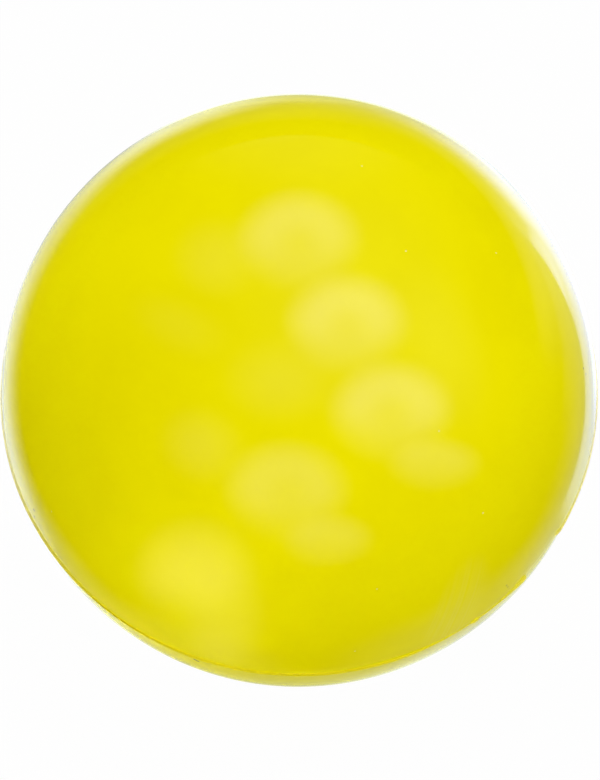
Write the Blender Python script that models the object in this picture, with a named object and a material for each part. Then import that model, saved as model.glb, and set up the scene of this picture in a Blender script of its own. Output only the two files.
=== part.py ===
"""Dog fetch ball: a hollow rubber ball made of two moulded half shells that are bonded at the seam.

Metres, +Z up. The origin is the ball's centre, and the seam lies in the plane z = 0.
"""
import math

import bmesh
import bpy

# The ball and its wall
BALL_DIAMETER = 0.065
WALL = 0.006

# The bond between the two half shells, and the gap that it keeps to their flat edges
BOND_THICKNESS = 0.0003
BOND_CLEARANCE = 0.0003

# The bond squeezes out as a thin flash lip on the outside and as a round bead on the inside
FLASH_PROUD = 0.00033
FLASH_CHAMFER = 0.00006
BEAD_RADIUS = 0.0006

# The flash is cut away over a short stretch, to a little below the ball's surface
TRIM_LENGTH = 0.0053
TRIM_DEPTH = 0.0001
TRIM_RAMP = 0.0005
TRIM_AZIMUTH = math.radians(-36.6)

# Facets: round the ball, from its pole to the seam, round the flash, in the trim and round the bead
SHELL_SEGMENTS = 60
SHELL_STEPS = 15
FLASH_SEGMENTS = 96
TRIM_SEGMENTS = 4
BEAD_STEPS = 7
MERGE_DISTANCE = 0.000001

SHELL_YELLOW = (0.82, 0.72, 0.010, 1.0)
SEAM_YELLOW = (0.80, 0.70, 0.010, 1.0)
SHELL_ROUGHNESS = 0.12
SEAM_ROUGHNESS = 0.25

BALL_RADIUS = BALL_DIAMETER / 2
HOLLOW_RADIUS = BALL_RADIUS - WALL
BOND_HALF = BOND_THICKNESS / 2
EDGE_HEIGHT = BOND_HALF + BOND_CLEARANCE


def clear_scene():
    for old in list(bpy.data.objects):
        bpy.data.objects.remove(old, do_unlink=True)


def rubber(name, colour, roughness):
    material = bpy.data.materials.new(name)
    material.use_nodes = True
    shader = material.node_tree.nodes["Principled BSDF"]
    shader.inputs["Base Color"].default_value = colour
    shader.inputs["Roughness"].default_value = roughness
    shader.inputs["Metallic"].default_value = 0.0
    return material


def add_piece(name, mesh, material, parent):
    piece = bpy.data.objects.new(name, mesh)
    bpy.context.scene.collection.objects.link(piece)
    piece.data.materials.append(material)
    piece.parent = parent
    return piece


def reach(radius, height):
    """Distance from the axis to a sphere of this radius, at this height above the seam."""
    return math.sqrt(radius * radius - height * height)


def shell_arc(radius):
    """Points on a sphere in the XZ plane, from the pole down to the half shell's flat edge."""
    lowest = math.asin(EDGE_HEIGHT / radius)
    turn = (math.pi / 2 - lowest) / SHELL_STEPS
    angles = [math.pi / 2 - step * turn for step in range(SHELL_STEPS)]
    arc = [(radius * math.cos(angle), radius * math.sin(angle)) for angle in angles]
    arc[0] = (0.0, radius)
    arc.append((reach(radius, EDGE_HEIGHT), EDGE_HEIGHT))
    return arc


def half_shell(name, parent, material):
    """One moulded half: its outside, its flat edge and its inside, turned about Z."""
    outline = shell_arc(BALL_RADIUS) + shell_arc(HOLLOW_RADIUS)[::-1]
    points = [(x, 0.0, z) for x, z in outline]
    edges = [(step, step + 1) for step in range(len(points) - 1)]
    mesh = bpy.data.meshes.new(name)
    mesh.from_pydata(points, edges, [])
    shell = add_piece(name, mesh, material, parent)
    screw = shell.modifiers.new("turn", "SCREW")
    screw.axis = "Z"
    screw.angle = 2 * math.pi
    screw.steps = SHELL_SEGMENTS
    screw.render_steps = SHELL_SEGMENTS
    screw.use_merge_vertices = True
    screw.merge_threshold = MERGE_DISTANCE
    screw.use_smooth_shade = True
    return shell


def bond_section(tip):
    """Points (distance from the axis, height) round the bond's section, whose lip ends at tip."""
    bead_edge = reach(HOLLOW_RADIUS, EDGE_HEIGHT) - BOND_CLEARANCE
    bead_centre = bead_edge - reach(BEAD_RADIUS, BOND_HALF)
    first = math.asin(BOND_HALF / BEAD_RADIUS)
    turn = 2 * (math.pi - first) / BEAD_STEPS
    bead = []
    for step in range(BEAD_STEPS + 1):
        angle = first + step * turn
        bead.append((bead_centre + BEAD_RADIUS * math.cos(angle), BEAD_RADIUS * math.sin(angle)))
    lip_top = [(tip, BOND_HALF - FLASH_CHAMFER), (tip - FLASH_CHAMFER, BOND_HALF)]
    lip_bottom = [(distance, -height) for distance, height in reversed(lip_top)]
    return lip_top + bead + lip_bottom


def flash_stations():
    """(azimuth, reach of the lip) once round the seam, starting at one end of the trimmed stretch."""
    trimmed_half = TRIM_LENGTH / 2 / BALL_RADIUS
    flash_start = trimmed_half + TRIM_RAMP / BALL_RADIUS
    trim_turn = 2 * trimmed_half / TRIM_SEGMENTS
    flash_turn = 2 * (math.pi - flash_start) / FLASH_SEGMENTS
    stations = []
    for step in range(TRIM_SEGMENTS + 1):
        stations.append((step * trim_turn - trimmed_half, BALL_RADIUS - TRIM_DEPTH))
    for step in range(FLASH_SEGMENTS + 1):
        stations.append((flash_start + step * flash_turn, BALL_RADIUS + FLASH_PROUD))
    return [(TRIM_AZIMUTH + azimuth, tip) for azimuth, tip in stations]


def bond_ring(name, parent, material):
    """The cured bond, with its flash lip outside, its bead inside and the trimmed stretch."""
    shape = bmesh.new()
    sections = []
    for azimuth, tip in flash_stations():
        x, y = math.cos(azimuth), math.sin(azimuth)
        section = [shape.verts.new((x * away, y * away, z)) for away, z in bond_section(tip)]
        sections.append(section)
    for section, following in zip(sections, sections[1:] + sections[:1]):
        for side in range(len(section)):
            before = side - 1
            face = (section[before], following[before], following[side], section[side])
            shape.faces.new(face).smooth = True
    bmesh.ops.recalc_face_normals(shape, faces=shape.faces)
    mesh = bpy.data.meshes.new(name)
    shape.to_mesh(mesh)
    shape.free()
    mesh.set_sharp_from_angle(angle=math.radians(40))
    return add_piece(name, mesh, material, parent)


def build():
    clear_scene()
    ball = bpy.data.objects.new("dog_ball", None)
    bpy.context.scene.collection.objects.link(ball)
    half_shell("upper_half_shell", ball, rubber("upper_rubber", SHELL_YELLOW, SHELL_ROUGHNESS))
    lower = half_shell("lower_half_shell", ball, rubber("lower_rubber", SHELL_YELLOW, SHELL_ROUGHNESS))
    lower.rotation_euler.x = math.pi
    bond_ring("seam_bond_ring", ball, rubber("seam_rubber", SEAM_YELLOW, SEAM_ROUGHNESS))


build()
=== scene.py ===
"""The dog ball's looks: two moulded half shells, their bonded seam and a white studio."""
import math

import bmesh
import bpy
from mathutils import Matrix, Vector, noise


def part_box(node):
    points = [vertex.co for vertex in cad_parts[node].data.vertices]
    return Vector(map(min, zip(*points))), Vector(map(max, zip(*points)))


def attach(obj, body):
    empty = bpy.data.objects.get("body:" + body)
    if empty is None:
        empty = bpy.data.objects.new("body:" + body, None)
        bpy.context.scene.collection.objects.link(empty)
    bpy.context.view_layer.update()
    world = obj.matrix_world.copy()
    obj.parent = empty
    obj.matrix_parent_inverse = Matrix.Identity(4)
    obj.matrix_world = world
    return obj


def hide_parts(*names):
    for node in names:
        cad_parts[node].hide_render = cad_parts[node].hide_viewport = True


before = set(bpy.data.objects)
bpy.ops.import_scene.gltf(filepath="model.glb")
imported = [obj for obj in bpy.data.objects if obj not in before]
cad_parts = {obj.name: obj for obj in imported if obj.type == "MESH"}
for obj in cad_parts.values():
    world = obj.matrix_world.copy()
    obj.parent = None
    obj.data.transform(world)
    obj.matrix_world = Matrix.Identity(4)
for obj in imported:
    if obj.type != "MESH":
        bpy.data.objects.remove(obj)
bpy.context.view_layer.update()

# The photograph's frame, and the ball's outline in it, in pixels
PHOTO_WIDTH = 600
PHOTO_HEIGHT = 780
BALL_CENTRE_PX = (298.86, 390.32)
BALL_RADIUS_PX = 296.54

# The camera looks down on the ball: tilt is between the line of sight and the mould axis
CAMERA_TILT = math.radians(21.7)
CAMERA_ROLL = math.radians(0.3)
CAMERA_DISTANCE = 0.464
CAMERA_CLIP = (0.01, 20.0)
SENSOR_MM = 36.0

# The ball, in metres
BALL_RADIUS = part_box("upper_half_shell")[1].z
WALL = 0.006
HOLLOW_RADIUS = BALL_RADIUS - WALL
BOND_HALF = 0.00015
JOINT_GAP = 0.000005

# The moulding's slight waviness: height in metres, and waves per metre
WAVES = ((0.00002, 90.0), (0.000006, 320.0))

# The flash is cut away between two azimuths, in degrees, to a little below the ball's surface
TRIM_START = -41.3
TRIM_END = -31.9
TRIM_RAMP = 0.7
TRIM_DEPTH = 0.000004

# Both shells swell a little towards the seam, in metres, except where the flash was cut away. The lean
# makes the swell stronger on the ball's right and weaker on its left. The ramp is how many degrees it
# takes to come back beside the cut.
SEAM_SWELL = 0.00015
SWELL_LEAN = 0.2
SWELL_SHARE_BELOW = 0.35
SWELL_HEIGHT = 0.0024
SWELL_RAMP = 1.5

# How far the flash stands out of the swell, in metres, at each azimuth in degrees. It nearly fades out
# at the front right, apart from one lump there, and is higher by the cut.
FLASH_STAND = (
    (-180.0, 0.00016),
    (-140.0, 0.00018),
    (-120.0, 0.00024),
    (-90.0, 0.00028),
    (-72.0, 0.00024),
    (-64.0, 0.00014),
    (-59.0, 0.00007),
    (-55.9, 0.00007),
    (-55.3, 0.00022),
    (-54.3, 0.00022),
    (-53.7, 0.00007),
    (-50.0, 0.00009),
    (-44.0, 0.00022),
    (-41.0, 0.00028),
    (-32.0, 0.00013),
    (-10.0, 0.00014),
    (20.0, 0.00015),
    (180.0, 0.00016),
)

# The flash is uneven along the seam: share of its stand, and changes round the ball
FLASH_UNEVEN = ((0.15, 9.0), (0.1, 40.0))

# The flash's section is a thin fin: share of its stand, and height above or below the seam
FLASH_PROFILE = (
    (1.0, 0.00003),
    (0.92, 0.00005),
    (0.65, 0.00007),
    (0.35, 0.00009),
    (0.12, 0.00012),
    (0.02, 0.00016),
)

# Where the fin's foot meets the shell, how far it sinks in there, and how deep the bond narrows below it
FLASH_FOOT = 0.00020
FLASH_SINK = 0.000003
FLASH_ROOT = 0.0003

# The bead that the bond makes inside the ball: distance from the wall, and height above or below the seam
BEAD_PROFILE = ((0.0, BOND_HALF), (0.0003, 0.0004), (0.0007, 0.0002))

# Facets, which crowd towards the seam on the shells, and the angles above which an edge stays sharp
SHELL_SEGMENTS = 240
SHELL_STEPS = 72
SHELL_CROWDING = 1.6
HOLLOW_STEPS = 20
FLASH_SEGMENTS = 1440
SHELL_SHARP_ANGLE = math.radians(50)
FLASH_SHARP_ANGLE = math.radians(60)


class Eye:
    """The photograph's camera: where it stands, and which ray each pixel of the photograph looks along."""

    def __init__(self):
        side = Vector((1, 0, 0))
        rise = Vector((0, math.cos(CAMERA_TILT), math.sin(CAMERA_TILT)))
        self.back = Vector((0, -math.sin(CAMERA_TILT), math.cos(CAMERA_TILT)))
        self.right = math.cos(CAMERA_ROLL) * side - math.sin(CAMERA_ROLL) * rise
        self.up = math.sin(CAMERA_ROLL) * side + math.cos(CAMERA_ROLL) * rise
        self.place = CAMERA_DISTANCE * self.back
        reach = math.sqrt(CAMERA_DISTANCE ** 2 - BALL_RADIUS ** 2)
        self.focal_px = BALL_RADIUS_PX * reach / BALL_RADIUS

    def ray(self, pixel):
        across = (pixel[0] - BALL_CENTRE_PX[0]) / self.focal_px
        upward = (BALL_CENTRE_PX[1] - pixel[1]) / self.focal_px
        return (across * self.right + upward * self.up - self.back).normalized()

    def on_ball(self, pixel):
        """The point of the ball that this pixel shows."""
        ray = self.ray(pixel)
        along = -self.place.dot(ray)
        inside = BALL_RADIUS ** 2 - (self.place.length_squared - along ** 2)
        return self.place + (along - math.sqrt(max(inside, 0.0))) * ray

    def mirrored(self, pixel):
        """The direction that this pixel's ray takes after the ball reflects it."""
        return self.ray(pixel).reflect(self.on_ball(pixel).normalized())


eye = Eye()


def add_camera():
    camera = bpy.data.objects.new("photo_camera", bpy.data.cameras.new("photo_camera"))
    bpy.context.scene.collection.objects.link(camera)
    turn = Matrix((eye.right, eye.up, eye.back)).transposed().to_4x4()
    camera.matrix_world = Matrix.Translation(eye.place) @ turn
    camera.data.sensor_width = SENSOR_MM
    camera.data.lens = SENSOR_MM * eye.focal_px / PHOTO_HEIGHT
    camera.data.shift_x = (PHOTO_WIDTH / 2 - BALL_CENTRE_PX[0]) / PHOTO_HEIGHT
    camera.data.shift_y = (BALL_CENTRE_PX[1] - PHOTO_HEIGHT / 2) / PHOTO_HEIGHT
    camera.data.clip_start, camera.data.clip_end = CAMERA_CLIP
    bpy.context.scene.camera = camera


def add_mesh(name, shape, material):
    mesh = bpy.data.meshes.new(name)
    shape.to_mesh(mesh)
    shape.free()
    mesh.materials.append(material)
    piece = bpy.data.objects.new(name, mesh)
    bpy.context.scene.collection.objects.link(piece)
    return piece


class Nodes:
    """A node tree, with short calls to add and link nodes."""

    def __init__(self, tree):
        self.tree = tree

    def add(self, kind, links=(), **settings):
        node = self.tree.nodes.new(kind)
        for name, value in settings.items():
            setattr(node, name, value)
        for socket, value in links:
            if isinstance(value, bpy.types.NodeSocket):
                self.tree.links.new(value, node.inputs[socket])
            else:
                node.inputs[socket].default_value = value
        return node

    def math(self, operation, first, second=0.0, third=0.0):
        links = [(0, first), (1, second), (2, third)]
        return self.add("ShaderNodeMath", links, operation=operation).outputs[0]

    def vector(self, operation, first, second=None):
        """A vector difference, product, length or distance: its vector output, then its value output."""
        links = [(0, first)] if second is None else [(0, first), (1, second)]
        return self.add("ShaderNodeVectorMath", links, operation=operation).outputs

    def ramp(self, value, low, high, out_low=0.0, out_high=1.0):
        """A smooth step from out_low at low to out_high at high."""
        span = [("From Min", low), ("From Max", high), ("To Min", out_low), ("To Max", out_high)]
        node = self.add("ShaderNodeMapRange", [("Value", value)] + span, interpolation_type="SMOOTHSTEP")
        return node.outputs[0]

    def noise(self, place, scale, detail):
        links = [("Vector", place), ("Scale", scale), ("Detail", detail)]
        return self.add("ShaderNodeTexNoise", links).outputs["Fac"]

    def mix(self, share, first, second):
        """A colour between two. The Mix node's inputs 6 and 7 are its colours, and its output 2 is one."""
        links = [(0, share), (6, first), (7, second)]
        return self.add("ShaderNodeMix", links, data_type="RGBA").outputs[2]


def new_material(name):
    material = bpy.data.materials.new(name)
    material.use_nodes = True
    material.node_tree.nodes.clear()
    return material, Nodes(material.node_tree)


# Looks of the rubber
SHELL_YELLOW = (0.85, 0.757, 0.0, 1.0)
SHELL_DEEP_YELLOW = (0.83, 0.735, 0.0, 1.0)
# Painted light: the seam's yellows are a little lighter than the shell's, to offset the shade along the
# fin's foot
SEAM_LIGHTENED_YELLOW = (0.88, 0.77, 0.0, 1.0)
SEAM_LIGHTENED_DEEP_YELLOW = (0.85, 0.74, 0.0, 1.0)
# Painted light: the flash is paler at the ball's far left and right, standing in for the white floor's
# light through the thin fin. The power sets how soon it fades.
SEAM_SIDE_PAINTED_LIGHT = (0.87, 0.83, 0.50, 1.0)
SEAM_SIDE_LIGHT_POWER = 8.0
SCUFF_YELLOW = (0.86, 0.77, 0.04, 1.0)
SPECK_YELLOW = (0.88, 0.83, 0.28, 1.0)
DIRT = (0.22, 0.20, 0.05, 1.0)
SHELL_ROUGHNESS = 0.06
SEAM_ROUGHNESS = 0.25
SHELL_SPECULAR = 0.5
SEAM_SPECULAR = 0.4
ROUGHNESS_SPREAD = 0.02
RUBBER_IOR = 1.5

# The colour's mottle and the surface's fine grain: size, detail, and the stretch of the noise that counts
MOTTLE_PER_M = 110.0
MOTTLE_DETAIL = 3.0
MOTTLE_SPAN = (0.35, 0.65)
GRAIN_PER_M = 1500.0
GRAIN_DETAIL = 2.0
GRAIN_SPAN = (0.3, 0.7)
GRAIN_HEIGHT = 0.000002

# Small marks, each at the pixel that shows it, with its radius in metres, and the share of it that is full
MARK_CORE = 0.3
DIRT_MARKS = (
    ((506.3, 585.0), 0.00017),
    ((507.3, 586.4), 0.00019),
    ((508.4, 587.8), 0.00018),
    ((509.2, 589.0), 0.00015),
    ((194.8, 659.3), 0.00028),
    ((196.4, 660.2), 0.00028),
    ((198.0, 661.0), 0.00028),
    ((137.2, 635.5), 0.00040),
    ((34.0, 510.0), 0.00028),
    ((34.8, 516.5), 0.00028),
    ((583.6, 368.3), 0.00018),
    ((586.0, 374.0), 0.00015),
)
PALE_SPECKS = (
    ((51.5, 511.5), 0.00016),
    ((483, 513), 0.00016),
    ((377, 589), 0.00016),
    ((355, 651), 0.00015),
    ((362, 166), 0.00014),
    ((406, 251), 0.00014),
    ((496, 253), 0.00014),
    ((439, 431), 0.00014),
)

# Faint pale scratches, which run from one pixel to another and fade out towards the edge of an oval
SCUFF_ENDS = ((474, 548), (430, 652))
SCUFF_HALF_WIDTH = 0.0042
SCUFF_FADE = (0.1, 1.0)
SCUFF_STREAKS_PER_M = 500.0
SCUFF_DETAIL = 2.0
SCUFF_SPAN = (0.20, 0.90)


def spots(nodes, place, marks):
    """1 on the marks and 0 elsewhere."""
    total = 0.0
    for pixel, radius in marks:
        _, away = nodes.vector("DISTANCE", place, eye.on_ball(pixel))
        spot = nodes.ramp(away, MARK_CORE * radius, radius, 1.0, 0.0)
        total = nodes.math("MAXIMUM", spot, total)
    return total


def scuff(nodes, place):
    """1 on the scratches and 0 elsewhere."""
    start, end = (eye.on_ball(pixel) for pixel in SCUFF_ENDS)
    centre = (start + end) / 2
    along = end - start
    across = along.cross(centre).normalized()
    shift, _ = nodes.vector("SUBTRACT", place, centre)
    _, lengthwise = nodes.vector("DOT_PRODUCT", shift, along.normalized())
    _, sideways = nodes.vector("DOT_PRODUCT", shift, across)
    along_share = nodes.math("DIVIDE", lengthwise, along.length / 2)
    across_share = nodes.math("DIVIDE", sideways, SCUFF_HALF_WIDTH)
    away = nodes.math("ADD", nodes.math("POWER", along_share, 2.0), nodes.math("POWER", across_share, 2.0))
    streaks = nodes.add("ShaderNodeTexNoise", [
        ("W", nodes.math("MULTIPLY", sideways, SCUFF_STREAKS_PER_M)),
        ("Detail", SCUFF_DETAIL),
    ], noise_dimensions="1D").outputs["Fac"]
    inside = nodes.ramp(away, *SCUFF_FADE, 1.0, 0.0)
    return nodes.math("MULTIPLY", nodes.ramp(streaks, *SCUFF_SPAN), inside)


def painted_side_light_share(nodes, place):
    """1 at the ball's far left and right, where the thin flash is painted palest to stand in for the white
    floor's light through it, and soon 0 elsewhere.
    """
    x = nodes.add("ShaderNodeSeparateXYZ", [(0, place)]).outputs[0]
    share = nodes.math("ABSOLUTE", nodes.math("DIVIDE", x, BALL_RADIUS))
    return nodes.math("POWER", share, SEAM_SIDE_LIGHT_POWER)


def rubber(name, yellow, deep_yellow, roughness, specular, painted_side_light=None):
    """Moulded rubber: mottled in colour, with a fine grain that breaks up its gloss. Where it is given,
    painted light pales the far sides.
    """
    material, nodes = new_material(name)
    place = nodes.add("ShaderNodeTexCoord").outputs["Object"]
    mottle = nodes.noise(place, MOTTLE_PER_M, MOTTLE_DETAIL)
    grain = nodes.noise(place, GRAIN_PER_M, GRAIN_DETAIL)
    colour = nodes.mix(nodes.ramp(mottle, *MOTTLE_SPAN), yellow, deep_yellow)
    # Painted light: the far sides pale as if the white floor's light shone through the thin flash
    if painted_side_light:
        colour = nodes.mix(painted_side_light_share(nodes, place), colour, painted_side_light)
    colour = nodes.mix(scuff(nodes, place), colour, SCUFF_YELLOW)
    colour = nodes.mix(spots(nodes, place, PALE_SPECKS), colour, SPECK_YELLOW)
    colour = nodes.mix(spots(nodes, place, DIRT_MARKS), colour, DIRT)
    gloss = nodes.ramp(grain, *GRAIN_SPAN, roughness - ROUGHNESS_SPREAD, roughness + ROUGHNESS_SPREAD)
    bump = nodes.add("ShaderNodeBump", [("Height", grain), ("Distance", GRAIN_HEIGHT)])
    shader = nodes.add("ShaderNodeBsdfPrincipled", [
        ("Base Color", colour),
        ("Roughness", gloss),
        ("IOR", RUBBER_IOR),
        ("Specular IOR Level", specular),
        ("Normal", bump.outputs[0]),
    ])
    nodes.add("ShaderNodeOutputMaterial", [("Surface", shader.outputs[0])])
    return material


def wobble(point):
    """The moulding's slight waviness, in metres, at a point of the ball."""
    return sum(height * noise.noise(point * per_m) for height, per_m in WAVES)


def swell(azimuth, height):
    """How far the shells stand out of the ball's round near the seam, at this azimuth in degrees."""
    beside = max(TRIM_START - azimuth, azimuth - TRIM_END) / SWELL_RAMP
    full = SEAM_SWELL * (1 + SWELL_LEAN * math.cos(math.radians(azimuth)))
    if height < 0:
        full *= SWELL_SHARE_BELOW
    return full * min(max(beside, 0.0), 1.0) * math.exp(-(height / SWELL_HEIGHT) ** 2)


def half_shell(name, node, sign, material):
    """One half shell, closed: outside, flat edge and hollow. sign is +1 above the seam and -1 below it."""
    edge = BOND_HALF + JOINT_GAP
    shape = bmesh.new()

    def ring(radius, angle, wavy):
        if angle >= math.pi / 2:
            place = Vector((0.0, 0.0, sign * radius))
            return [shape.verts.new(place * (1 + wavy * wobble(place) / radius))]
        verts = []
        for step in range(SHELL_SEGMENTS):
            azimuth = 360.0 * step / SHELL_SEGMENTS - 180.0
            turn = math.radians(azimuth)
            flat, height = radius * math.cos(angle), radius * math.sin(angle)
            place = Vector((flat * math.cos(turn), flat * math.sin(turn), sign * height))
            rise = wavy * (wobble(place) + swell(azimuth, place.z))
            verts.append(shape.verts.new(place * (1 + rise / radius)))
        return verts

    def arc(radius, steps, wavy):
        lowest = math.asin(edge / radius)
        shares = [(step / steps) ** SHELL_CROWDING for step in range(steps + 1)]
        return [ring(radius, lowest + (math.pi / 2 - lowest) * share, wavy) for share in shares]

    rings = arc(BALL_RADIUS, SHELL_STEPS, 1)[::-1] + arc(HOLLOW_RADIUS, HOLLOW_STEPS, 0)
    for upper, lower in zip(rings, rings[1:]):
        for step in range(SHELL_SEGMENTS):
            after = (step + 1) % SHELL_SEGMENTS
            if len(upper) == 1:
                corners = (upper[0], lower[step], lower[after])
            elif len(lower) == 1:
                corners = (upper[step], lower[0], upper[after])
            else:
                corners = (upper[step], lower[step], lower[after], upper[after])
            shape.faces.new(corners).smooth = True
    bmesh.ops.recalc_face_normals(shape, faces=shape.faces)
    shell = add_mesh(name, shape, material)
    shell.data.set_sharp_from_angle(angle=SHELL_SHARP_ANGLE)
    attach(shell, "root")
    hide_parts(node)


def flash_stand(azimuth):
    """How far the flash stands out at this azimuth, before it is cut."""
    for (start, first), (end, last) in zip(FLASH_STAND, FLASH_STAND[1:]):
        if azimuth <= end:
            return first + (last - first) * (azimuth - start) / (end - start)
    return FLASH_STAND[-1][1]


def trim_share(azimuth):
    """1 where the flash stands whole, 0 where it is cut away, and in between on the cut's two ramps."""
    into = min(azimuth - (TRIM_START - TRIM_RAMP), (TRIM_END + TRIM_RAMP) - azimuth)
    return 1.0 - min(max(into / TRIM_RAMP, 0.0), 1.0)


def flash_section(azimuth):
    """(distance from the axis, height) round the bond's section at this azimuth, in degrees."""
    turn = math.radians(azimuth)
    around = Vector((math.cos(turn), math.sin(turn), 0.0))
    uneven = 1 + sum(share * noise.noise(around * changes) for share, changes in FLASH_UNEVEN)
    whole = trim_share(azimuth)
    rise = whole * flash_stand(azimuth) * uneven - (1 - whole) * TRIM_DEPTH
    surface = BALL_RADIUS + swell(azimuth, 0.0)
    round_foot = math.sqrt(BALL_RADIUS ** 2 - FLASH_FOOT ** 2) - FLASH_SINK

    def side(sign):
        fin = [(surface + rise * share, sign * height) for share, height in FLASH_PROFILE]
        foot = (round_foot + swell(azimuth, sign * FLASH_FOOT), sign * FLASH_FOOT)
        root = (BALL_RADIUS - FLASH_ROOT, sign * BOND_HALF)
        bead = [(HOLLOW_RADIUS - inward, sign * height) for inward, height in BEAD_PROFILE]
        return fin + [foot, root] + bead

    return side(1) + side(-1)[::-1]


def seam_ring(material):
    """The cured bond between the half shells, with the uneven flash lip that shows outside."""
    shape = bmesh.new()
    sections = []
    for step in range(FLASH_SEGMENTS):
        azimuth = 360.0 * step / FLASH_SEGMENTS - 180.0
        x, y = math.cos(math.radians(azimuth)), math.sin(math.radians(azimuth))
        sections.append([shape.verts.new((x * away, y * away, z)) for away, z in flash_section(azimuth)])
    for section, following in zip(sections, sections[1:] + sections[:1]):
        for side in range(len(section)):
            corners = (section[side - 1], following[side - 1], following[side], section[side])
            shape.faces.new(corners).smooth = True
    bmesh.ops.recalc_face_normals(shape, faces=shape.faces)
    ring = add_mesh("seam_flash", shape, material)
    ring.data.set_sharp_from_angle(angle=FLASH_SHARP_ANGLE)
    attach(ring, "root")
    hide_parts("seam_bond_ring")


# The studio
FLOOR_SIZE = 6.0
FLOOR_WHITE = (0.5, 0.5, 0.5, 1.0)
FLOOR_GLOW_SHARE = 0.985

# By its foot the ball shades the floor that the camera sees. Further out the floor is white, but for a
# hint of shade. The fade is in ball radii.
FOOT_GLOW_SHARE = 0.30
FOOT_SHADE_FADE = (0.15, 0.62)

# What the ball's gloss sees of the floor, in ball radii from the ball's foot. Right of the ball lies a lit
# sheet with a sharp leaning edge.
SHEET_GLOW = 0.45
SHEET_RIGHT = 1.69
SHEET_RIGHT_LEAN = 0.48
SHEET_RIGHT_FADE = (-0.06, 0.06)
SHEET_LEFT_FADE = (0.3, 0.75)
SHEET_FRONT_FADE = (-0.45, -0.18)
SHEET_REAR_FADE = (1.85, 3.45)

# Oval patches of light on it and round it: name, centre, half sizes, share of these where the fade
# starts, and glow
SHEET_PATCHES = (
    ("sheet_near", (1.55, 1.65), (1.0, 2.3), 0.0, 1.95),
    ("sheet_far", (2.75, 1.55), (0.8, 0.8), 0.7, 1.2),
)
FLOOR_PATCHES = (
    ("under_left", (-0.6, 0.25), (1.25, 1.1), 0.7, 0.35),
    ("left", (-1.3, 0.5), (0.95, 1.25), 0.35, 0.55),
    ("front_left", (-0.9, -0.3), (1.15, 1.0), 0.0, 0.55),
    ("rear_left", (-1.75, 1.55), (0.85, 1.8), 0.0, 0.6),
    ("rear_hot", (-0.9, 2.3), (1.0, 1.65), 0.0, 1.05),
    ("rear_strip", (0.25, 1.7), (1.2, 0.35), 0.55, 0.65),
    ("rear_wide", (-0.5, 3.2), (3.4, 4.3), 0.0, 0.1),
    ("right_wide", (3.5, 2.6), (5.2, 2.1), 0.0, 0.3),
    ("right_far", (2.9, 1.65), (0.8, 2.0), 0.15, 0.25),
    ("right", (2.1, 0.9), (0.9, 1.8), 0.0, 0.35),
    ("right_near", (1.4, -0.2), (0.85, 1.0), 0.0, 0.35),
    ("under_right", (0.75, 0.75), (0.85, 0.85), 0.5, 0.9),
    ("front_right", (0.9, -0.8), (1.0, 1.6), 0.0, 0.25),
    ("front_right_near", (0.6, -0.6), (0.6, 0.6), 0.2, 0.55),
)

# Painted light by the ball's foot: yellowish glowing patches that only gloss sees
FOOT_PATCHES = (
    ("foot_front", (0.15, -0.65), (0.75, 1.0), 0.0, 0.85),
    ("foot_front_left", (-0.65, -1.1), (0.75, 1.2), 0.45, 0.15),
    ("foot_rear", (0.0, 1.8), (0.8, 1.5), 0.45, 0.45),
    ("foot_right", (0.95, -0.4), (0.4, 0.4), 0.2, 0.3),
)

# At the front left the ball throws its own yellow on the floor
BOUNCE_PATCHES = (
    ("bounce_front_left", (-0.6, -0.8), (0.65, 0.5), 0.3, 0.3),
)
SHEET_TINT = (0.34, 0.42, 1.0, 1.0)
FLOOR_TINT = (0.80, 0.90, 1.0, 1.0)
FOOT_TINT = (0.88, 0.93, 0.55, 1.0)
BOUNCE_TINT = (1.0, 0.93, 0.1, 1.0)


def add_world():
    """White to the camera and through glass. It throws no light: the lamps do that."""
    world = bpy.data.worlds.new("studio")
    bpy.context.scene.world = world
    world.use_nodes = True
    world.node_tree.nodes.clear()
    nodes = Nodes(world.node_tree)
    path = nodes.add("ShaderNodeLightPath")
    seen = nodes.math("MAXIMUM", path.outputs["Is Camera Ray"], path.outputs["Is Transmission Ray"])
    light = nodes.add("ShaderNodeBackground", [("Color", (1, 1, 1, 1)), ("Strength", seen)])
    nodes.add("ShaderNodeOutputWorld", [("Surface", light.outputs[0])])


def lit_patches(nodes, place, patches):
    """The glow of some oval patches of the floor, added up."""
    total = 0.0
    for _, centre, half, fade_from, glow in patches:
        scale = (1 / half[0], 1 / half[1], 1.0)
        shift = (-centre[0] / half[0], -centre[1] / half[1], 0.0)
        links = [(0, place), (1, scale), (2, shift)]
        scaled = nodes.add("ShaderNodeVectorMath", links, operation="MULTIPLY_ADD").outputs["Vector"]
        _, away = nodes.vector("LENGTH", scaled)
        patch = nodes.ramp(away, fade_from, 1.0, glow, 0.0)
        total = nodes.math("ADD", patch, total)
    return total


def floor_in_gloss(nodes, place):
    """(tint, brightness) of what gloss sees of the floor, for each kind of place on it."""
    x, y, _ = nodes.add("ShaderNodeSeparateXYZ", [(0, place)]).outputs
    from_right = nodes.math("SUBTRACT", nodes.math("MULTIPLY_ADD", y, SHEET_RIGHT_LEAN, SHEET_RIGHT), x)
    sheet = nodes.ramp(from_right, *SHEET_RIGHT_FADE)
    for share in (
        nodes.ramp(x, *SHEET_LEFT_FADE),
        nodes.ramp(y, *SHEET_FRONT_FADE),
        nodes.ramp(y, *SHEET_REAR_FADE, 1.0, 0.0),
    ):
        sheet = nodes.math("MULTIPLY", sheet, share)
    hot = nodes.math("MULTIPLY", lit_patches(nodes, place, SHEET_PATCHES), sheet)
    plain = nodes.math("MULTIPLY_ADD", sheet, SHEET_GLOW, lit_patches(nodes, place, FLOOR_PATCHES))
    foot = lit_patches(nodes, place, FOOT_PATCHES)
    bounce = lit_patches(nodes, place, BOUNCE_PATCHES)
    return (SHEET_TINT, hot), (FLOOR_TINT, plain), (FOOT_TINT, foot), (BOUNCE_TINT, bounce)


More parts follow.
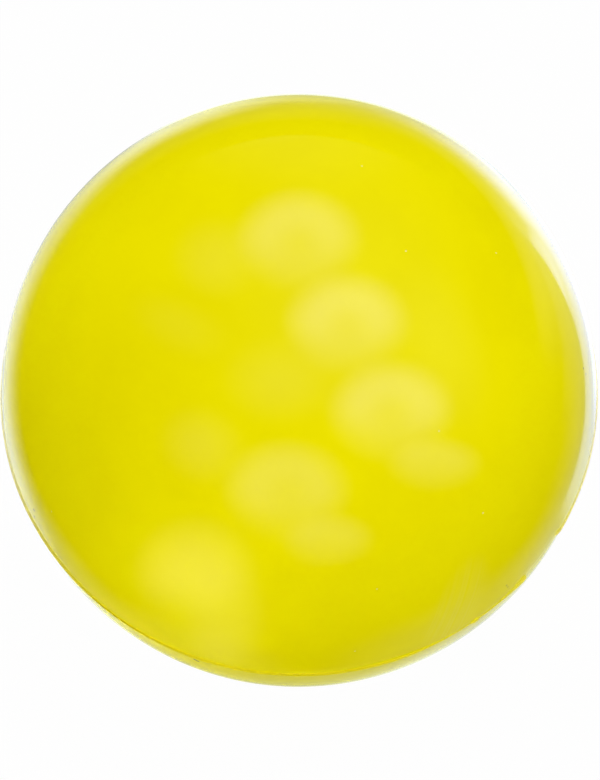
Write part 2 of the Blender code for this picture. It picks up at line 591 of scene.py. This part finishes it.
def add_floor():
    """A white floor under the ball, which keeps the ball's shadow."""
    material, nodes = new_material("floor_white")
    path = nodes.add("ShaderNodeLightPath")
    metres = nodes.add("ShaderNodeTexCoord").outputs["Object"]
    in_radii = [(0, metres), ("Scale", 1 / BALL_RADIUS)]
    place = nodes.add("ShaderNodeVectorMath", in_radii, operation="SCALE").outputs["Vector"]
    _, from_foot = nodes.vector("LENGTH", place)
    white = nodes.ramp(from_foot, *FOOT_SHADE_FADE, FOOT_GLOW_SHARE, FLOOR_GLOW_SHARE)
    plain = nodes.add("ShaderNodeBsdfDiffuse", [("Color", FLOOR_WHITE)])
    glow = nodes.add("ShaderNodeEmission", [("Strength", 1.0)])
    pool = nodes.add("ShaderNodeEmission", [("Strength", 0.0)])
    for tint, strength in floor_in_gloss(nodes, place):
        lit = nodes.add("ShaderNodeEmission", [("Color", tint), ("Strength", strength)])
        pool = nodes.add("ShaderNodeAddShader", [(0, pool.outputs[0]), (1, lit.outputs[0])])
    seen = nodes.math("MULTIPLY", path.outputs["Is Camera Ray"], white)
    shown = nodes.add("ShaderNodeMixShader", [(0, seen), (1, plain.outputs[0]), (2, glow.outputs[0])])
    gloss = nodes.math("MAXIMUM", path.outputs["Is Glossy Ray"], path.outputs["Is Transmission Ray"])
    whole = nodes.add("ShaderNodeMixShader", [(0, gloss), (1, shown.outputs[0]), (2, pool.outputs[0])])
    nodes.add("ShaderNodeOutputMaterial", [("Surface", whole.outputs[0])])
    material.cycles.emission_sampling = "NONE"
    shape = bmesh.new()
    bmesh.ops.create_grid(shape, x_segments=1, y_segments=1, size=FLOOR_SIZE / 2)
    floor = add_mesh("floor", shape, material)
    floor.location.z = -BALL_RADIUS


# The lamps that only the gloss shows, and how far they stand from the ball, in metres
LAMP_TINT = (0.62, 0.62, 1.0, 1.0)
CARD_TINT = (1.0, 0.93, 0.45, 1.0)
LAMP_DISTANCE = 0.9
CARD_DISTANCE = 0.02
LAMP_DARK_SPAN = (0.0, 0.45)
LAMP_SIDES = 32
LAMP_RINGS = 12

# Half sizes of the lamps' reflections, in pixels
ROUND_LAMP = (71, 58)
LOW_LAMP = (54, 32)


class Lamp:
    """A soft round lamp whose reflection in the ball fills an ellipse of the photograph, in pixels.

    fade_from is the share of its size where it starts to fade, dark_centre how much dimmer its middle is,
    fall how much dimmer its lower part is, fall_span where that sets in, from -1 at its top to 1 at its
    foot, and lean how many degrees the ellipse is turned.
    """

    def __init__(
        self, name, pixel, size, radiance, fade_from=0.35, dark_centre=0.0, fall=0.0,
        fall_span=(-0.2, 0.6), lean=0.0, distance=LAMP_DISTANCE, tint=LAMP_TINT,
    ):
        self.name = name
        self.pixel = pixel
        self.size = size
        self.radiance = radiance
        self.fade_from = fade_from
        self.dark_centre = dark_centre
        self.fall = fall
        self.fall_span = fall_span
        self.lean = math.radians(lean)
        self.distance = distance
        self.tint = tint

    def point(self, share, turn):
        """Where the lamp has to be for the ball to show it at this place of the ellipse."""
        across = self.size[0] * share * math.cos(turn)
        down = self.size[1] * share * math.sin(turn)
        pixel = (
            self.pixel[0] + across * math.cos(self.lean) - down * math.sin(self.lean),
            self.pixel[1] + across * math.sin(self.lean) + down * math.cos(self.lean),
        )
        return eye.on_ball(pixel) + self.distance * eye.mirrored(pixel)

    def material(self):
        """Fades towards its edge, is dimmer in its middle and its lower part, and hides no other lamp."""
        material, nodes = new_material(self.name)
        reach = nodes.add("ShaderNodeAttribute", attribute_name="reach").outputs["Fac"]
        edge = nodes.ramp(reach, self.fade_from, 1.0, self.radiance, 0.0)
        middle = nodes.ramp(reach, *LAMP_DARK_SPAN, 1.0 - self.dark_centre, 1.0)
        down = nodes.add("ShaderNodeAttribute", attribute_name="down").outputs["Fac"]
        lower = nodes.ramp(down, *self.fall_span, 1.0, 1.0 - self.fall)
        strength = nodes.math("MULTIPLY", nodes.math("MULTIPLY", edge, middle), lower)
        glow = nodes.add("ShaderNodeEmission", [("Color", self.tint), ("Strength", strength)])
        clear = nodes.add("ShaderNodeBsdfTransparent")
        whole = nodes.add("ShaderNodeAddShader", [(0, glow.outputs[0]), (1, clear.outputs[0])])
        nodes.add("ShaderNodeOutputMaterial", [("Surface", whole.outputs[0])])
        return material

    def add(self):
        shape = bmesh.new()
        reach = shape.verts.layers.float.new("reach")
        down = shape.verts.layers.float.new("down")
        centre = shape.verts.new(self.point(0.0, 0.0))
        rings = [[centre] * LAMP_SIDES]
        for ring in range(1, LAMP_RINGS + 1):
            verts = []
            for side in range(LAMP_SIDES):
                turn = 2 * math.pi * side / LAMP_SIDES
                vert = shape.verts.new(self.point(ring / LAMP_RINGS, turn))
                vert[reach] = ring / LAMP_RINGS
                vert[down] = ring / LAMP_RINGS * math.sin(turn)
                verts.append(vert)
            rings.append(verts)
        for inner, outer in zip(rings, rings[1:]):
            for side in range(LAMP_SIDES):
                before = side - 1
                corners = [inner[before], outer[before], outer[side]]
                if inner[side] is not inner[before]:
                    corners.append(inner[side])
                shape.faces.new(corners)
        lamp = add_mesh(self.name, shape, self.material())
        lamp.visible_camera = False
        lamp.visible_diffuse = False
        lamp.visible_shadow = False


# Each has a name, the centre and half sizes of its reflection in pixels, and its radiance
LAMPS = (
    Lamp("lamp_back", (299, 241), ROUND_LAMP, 1.90, fade_from=0.46, dark_centre=0.38, fall=0.55),
    Lamp("lamp_over", (347, 324), ROUND_LAMP, 2.50, fade_from=0.44, dark_centre=0.36, fall=0.60),
    Lamp("lamp_right", (391, 411), ROUND_LAMP, 2.25, fade_from=0.46, dark_centre=0.38, fall=0.65),
    Lamp(
        "lamp_front", (287, 491), ROUND_LAMP, 1.45,
        fade_from=0.42, dark_centre=0.30, fall=0.68, fall_span=(-0.1, 0.7),
    ),
    Lamp("lamp_low_right", (434, 464), LOW_LAMP, 1.10, fall=0.5, fall_span=(-0.3, 0.6)),
    Lamp("lamp_low_front", (328, 540), LOW_LAMP, 0.95, fall=0.5, fall_span=(-0.3, 0.6)),
    Lamp(
        "card_left", (196, 570), (70, 62), 1.9,
        fade_from=0.2, fall=0.6, fall_span=(0.0, 0.8), distance=CARD_DISTANCE, tint=CARD_TINT,
    ),
    Lamp(
        "card_left_foot", (225, 612), (50, 62), 0.66,
        fade_from=0.2, distance=CARD_DISTANCE, tint=CARD_TINT,
    ),
    Lamp("glow_rear_left", (218, 258), (56, 50), 0.42, fade_from=0.05),
    Lamp("glow_left", (182, 326), (68, 36), 0.19, fade_from=0.05, lean=25),
    Lamp("glow_middle", (280, 380), (70, 52), 0.42, fade_from=0.05),
    Lamp("glow_front_left", (203, 445), (54, 46), 0.50, fade_from=0.05, lean=30),
    Lamp("glow_top", (300, 152), (150, 50), 0.11, fade_from=0.0),
    Lamp("glow_top_edge", (283, 136), (74, 9), 0.05, fade_from=0.0, lean=-9),
    Lamp("glow_right", (442, 350), (56, 108), 0.22, fade_from=0.05, lean=-15, distance=1.2),
    Lamp("ceiling", (340, 290), (150, 160), 0.12, fade_from=0.2, distance=1.6),
)

# The soft lights that shade the ball, which gloss doesn't see: name, azimuth and elevation in degrees,
# and the light on a surface that faces it
SOFT_LIGHT_DISTANCE = 1.2
SOFT_LIGHT_SIZE = 0.9
SOFT_LIGHTS = (
    ("soft_over", 30, 70, 0.40),
    ("soft_rear_over", 90, 60, 0.50),
    ("soft_rear_left", 120, 12, 0.45),
    ("soft_left", 210, 12, 0.25),
    ("soft_front", 270, 25, 0.35),
    ("soft_front_low", 290, 5, 0.30),
    ("soft_right", 0, 5, 0.40),
)

# Small lights close to the ball, which brighten one side of it: the same values, then the distance from
# the ball. Their spread is their size as a share of that distance.
NEAR_LIGHT_SPREAD = 0.8
NEAR_LIGHTS = (
    ("near_left", 170, 0, 0.50, BALL_RADIUS),
    ("near_front_left", 245, 25, 0.20, BALL_RADIUS),
    ("near_right", 30, 0, 0.50, BALL_RADIUS),
    ("near_front_left_low", 220, -20, 0.30, BALL_RADIUS),
    ("near_front_low", 240, -30, 0.35, 0.5 * BALL_RADIUS),
    ("near_front_right_low", 330, -20, 0.45, 0.5 * BALL_RADIUS),
)


def add_area_light(name, size, energy, place, towards):
    """A round area light that shades the ball, but that neither the camera nor gloss sees."""
    light = bpy.data.lights.new(name, "AREA")
    light.shape = "DISK"
    light.size = size
    light.energy = energy
    light.cycles.use_multiple_importance_sampling = False
    lamp = bpy.data.objects.new(name, light)
    bpy.context.scene.collection.objects.link(lamp)
    lamp.location = place
    lamp.rotation_mode = "QUATERNION"
    lamp.rotation_quaternion = towards.to_track_quat("-Z", "Y")
    lamp.visible_camera = False
    lamp.visible_glossy = False


def direction(azimuth, elevation):
    """The unit vector that points this way, in degrees."""
    turn, rise = math.radians(azimuth), math.radians(elevation)
    return Vector((math.cos(turn) * math.cos(rise), math.sin(turn) * math.cos(rise), math.sin(rise)))


def add_soft_light(name, azimuth, elevation, share):
    """A soft light aimed at the ball. share is the light that it throws on a surface that faces it."""
    away = direction(azimuth, elevation)
    energy = share * math.pi ** 2 * SOFT_LIGHT_DISTANCE ** 2
    add_area_light(name, SOFT_LIGHT_SIZE, energy, away * SOFT_LIGHT_DISTANCE, -away)


def add_near_light(name, azimuth, elevation, share, distance):
    """A small light close to the ball. share is the light that it throws on the ball's nearest place."""
    away = direction(azimuth, elevation)
    energy = share * math.pi ** 2 * distance ** 2
    add_area_light(name, NEAR_LIGHT_SPREAD * distance, energy, away * (BALL_RADIUS + distance), -away)


def main():
    bpy.context.scene.view_settings.view_transform = "Standard"
    add_camera()
    shell = rubber("shell_rubber", SHELL_YELLOW, SHELL_DEEP_YELLOW, SHELL_ROUGHNESS, SHELL_SPECULAR)
    seam = rubber(
        "seam_rubber", SEAM_LIGHTENED_YELLOW, SEAM_LIGHTENED_DEEP_YELLOW, SEAM_ROUGHNESS, SEAM_SPECULAR, SEAM_SIDE_PAINTED_LIGHT,
    )
    half_shell("upper_shell", "upper_half_shell", 1, shell)
    half_shell("lower_shell", "lower_half_shell", -1, shell)
    seam_ring(seam)
    add_world()
    add_floor()
    for lamp in LAMPS:
        lamp.add()
    for light in SOFT_LIGHTS:
        add_soft_light(*light)
    for light in NEAR_LIGHTS:
        add_near_light(*light)


main()
